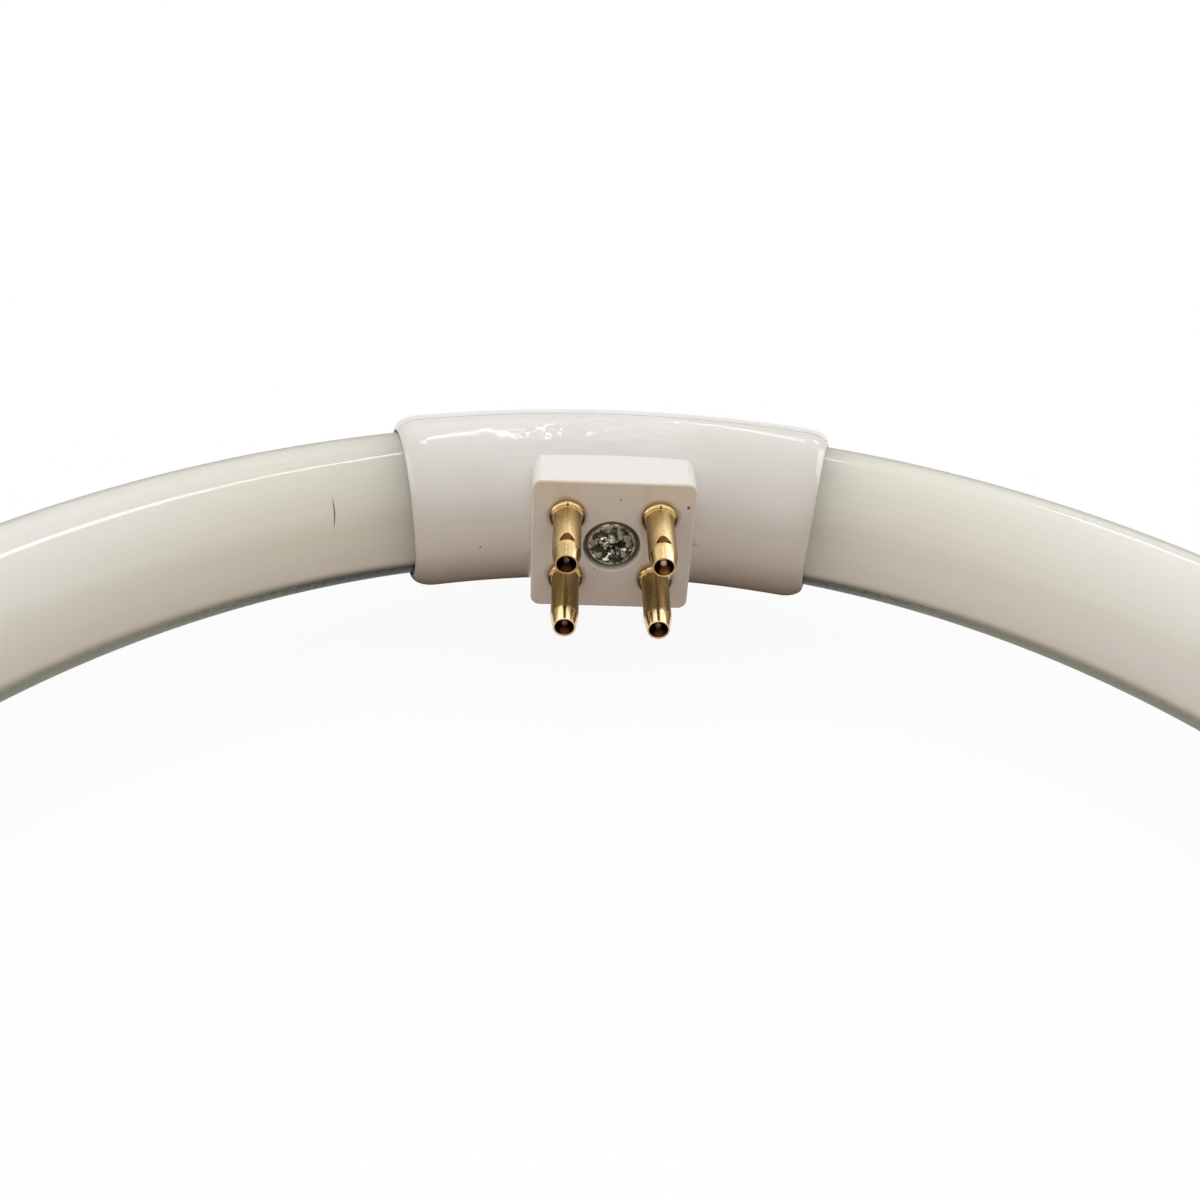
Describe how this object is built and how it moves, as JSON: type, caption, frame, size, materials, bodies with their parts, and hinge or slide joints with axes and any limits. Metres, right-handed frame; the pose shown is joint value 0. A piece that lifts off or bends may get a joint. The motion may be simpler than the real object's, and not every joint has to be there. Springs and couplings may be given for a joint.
{
  "type": "circular lamp tube",
  "caption": "Circular white glass lamp tube with a moulded swivelling base, hollow brass contact pins pointing at the ring's middle, and a clamp screw.",
  "frame": {"origin": "ring's axis, level with the lowest point, the underside of the base's collar", "axes": "+Z along the ring's axis, up as the ring lies flat; the base is at +Y and its pins point along -Y to the ring's middle"},
  "size_m": [0.145, 0.1464, 0.0155],
  "materials": {
    "coated_glass": "glossy glass over a cream-white coat",
    "white_plastic": "glossy moulded",
    "pin_brass": "polished, crimped",
    "zinc_screw": "bright zinc plate",
    "lead_wire": "drawn wire"
  },
  "bodies": {
    "ring": {"glass_tube": "coated_glass", "lead_wire_upper_left": "lead_wire", "lead_wire_lower_left": "lead_wire", "lead_wire_upper_right": "lead_wire", "lead_wire_lower_right": "lead_wire"},
    "base": {"inner_shell": "white_plastic", "outer_shell": "white_plastic", "clamp_screw": "zinc_screw", "contact_pin_upper_left": "pin_brass", "contact_pin_lower_left": "pin_brass", "contact_pin_upper_right": "pin_brass", "contact_pin_lower_right": "pin_brass"}
  },
  "joints": [
    {"name": "base_swivel", "type": "hinge", "parent": "ring", "child": "base", "pos_m": [0, 0.06369, 0.00773], "axis": [1, 0, 0], "range_deg": [-30, 30], "deforming": ["lead_wire_upper_left", "lead_wire_lower_left", "lead_wire_upper_right", "lead_wire_lower_right"]}
  ]
}
